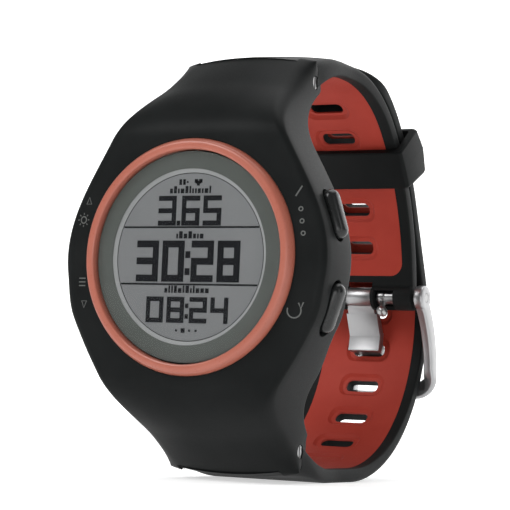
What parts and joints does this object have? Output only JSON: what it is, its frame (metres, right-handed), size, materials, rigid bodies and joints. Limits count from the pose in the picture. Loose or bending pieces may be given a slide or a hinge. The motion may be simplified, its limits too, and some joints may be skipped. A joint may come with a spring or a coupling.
{
  "type": "running watch",
  "caption": "Round digital sports watch with side push buttons, buckled two-part perforated strap with a coloured liner, keeper loop and steel pin buckle.",
  "frame": {"origin": "centre of the whole watch's footprint, on the surface that the strap's lower bend stands on", "axes": "+Z towards 12 o'clock, +X towards 3 o'clock, the face looks along -Y"},
  "size_m": [0.0502, 0.0732, 0.0733],
  "materials": {
    "case_black": "fine satin-matt moulded",
    "strap_black": "soft matt silicone",
    "liner_coral": "soft matt silicone",
    "ring_coral": "satin lacquered",
    "lens_glass": "polished mineral glass",
    "mask_grey": "printed ink under glass",
    "bezel_silver": "matt light grey",
    "display": "reflective display, matt",
    "light_guide": "clear diffusing sheet",
    "frame_plastic": "moulded",
    "board": "solder resist",
    "chip_black": "moulded epoxy",
    "battery_foil": "foil pouch",
    "antenna_copper": "copper strip",
    "brass_disc": "rolled",
    "steel": "turned",
    "spring_steel": "drawn wire",
    "screw_steel": "passivated",
    "buckle_steel": "satin brushed",
    "back_plastic": "fine spark texture",
    "contact_gold": "gold plated",
    "seal_rubber": "moulded",
    "button_black": "satin moulded"
  },
  "bodies": {
    "case": {"case_shell": "case_black", "accent_ring": "ring_coral", "lens": "lens_glass", "mask_ring": "mask_grey", "lens_gasket": "seal_rubber", "lcd_bezel": "bezel_silver", "lcd_panel": "display", "light_guide": "light_guide", "inner_frame": "frame_plastic", "main_board": "board", "board_chips": "chip_black", "battery": "battery_foil", "gps_antenna": "antenna_copper", "vibration_motor": "steel", "buzzer_disc": "brass_disc", "back_cover": "back_plastic", "back_gasket": "seal_rubber", "back_screws": "screw_steel", "charge_contacts": "contact_gold", "button_seals": "seal_rubber", "button_switches": "chip_black", "upper_strap": "strap_black", "upper_liner": "liner_coral", "lower_strap": "strap_black", "lower_liner": "liner_coral", "upper_lug_pin": "steel", "lower_lug_pin": "steel", "lug_screws": "screw_steel", "buckle_bar": "steel", "button_spring_upper_right": "spring_steel", "button_spring_lower_right": "spring_steel", "button_spring_upper_left": "spring_steel", "button_spring_lower_left": "spring_steel", "knob_spring": "spring_steel"},
    "button_upper_right": {"button_upper_right": "button_black", "button_clip_upper_right": "steel"},
    "button_lower_right": {"button_lower_right": "button_black", "button_clip_lower_right": "steel"},
    "button_upper_left": {"button_upper_left": "button_black", "button_clip_upper_left": "steel"},
    "button_lower_left": {"button_lower_left": "button_black", "button_clip_lower_left": "steel"},
    "keeper": {"keeper": "strap_black"},
    "buckle_frame": {"buckle_frame": "buckle_steel"},
    "buckle_tongue": {"buckle_tongue": "buckle_steel"},
    "release_knob": {"release_knob": "buckle_steel"}
  },
  "joints": [
    {"name": "press_upper_right", "type": "slide", "parent": "case", "child": "button_upper_right", "axis": [-0.9499, 0, -0.3125], "range_m": [0, 0.0008], "stiffness_N_per_m": 800, "springref_m": -0.001, "deforming": ["button_spring_upper_right"]},
    {"name": "press_lower_right", "type": "slide", "parent": "case", "child": "button_lower_right", "axis": [-0.9499, 0, 0.3125], "range_m": [0, 0.0008], "stiffness_N_per_m": 800, "springref_m": -0.001, "deforming": ["button_spring_lower_right"]},
    {"name": "press_upper_left", "type": "slide", "parent": "case", "child": "button_upper_left", "axis": [0.9499, 0, -0.3125], "range_m": [0, 0.0008], "stiffness_N_per_m": 800, "springref_m": -0.001, "deforming": ["button_spring_upper_left"]},
    {"name": "press_lower_left", "type": "slide", "parent": "case", "child": "button_lower_left", "axis": [0.9499, 0, 0.3125], "range_m": [0, 0.0008], "stiffness_N_per_m": 800, "springref_m": -0.001, "deforming": ["button_spring_lower_left"]},
    {"name": "keeper_slide", "type": "hinge", "parent": "case", "child": "keeper", "pos_m": [0, -0.01803, 0.03177], "axis": [1, 0, 0], "range_deg": [-5.4, 2.7]},
    {"name": "frame_swing", "type": "hinge", "parent": "case", "child": "buckle_frame", "pos_m": [0, 0.02819, 0.03339], "axis": [1, 0, 0], "range_deg": [0, 22]},
    {"name": "tongue_play", "type": "hinge", "parent": "case", "child": "buckle_tongue", "pos_m": [0, 0.02819, 0.03339], "axis": [1, 0, 0], "range_deg": [-1.5, 1.5]},
    {"name": "knob_slide", "type": "slide", "parent": "case", "child": "release_knob", "axis": [1, 0, 0], "range_m": [0, 0.0012], "stiffness_N_per_m": 500, "springref_m": -0.001, "deforming": ["knob_spring"]}
  ]
}
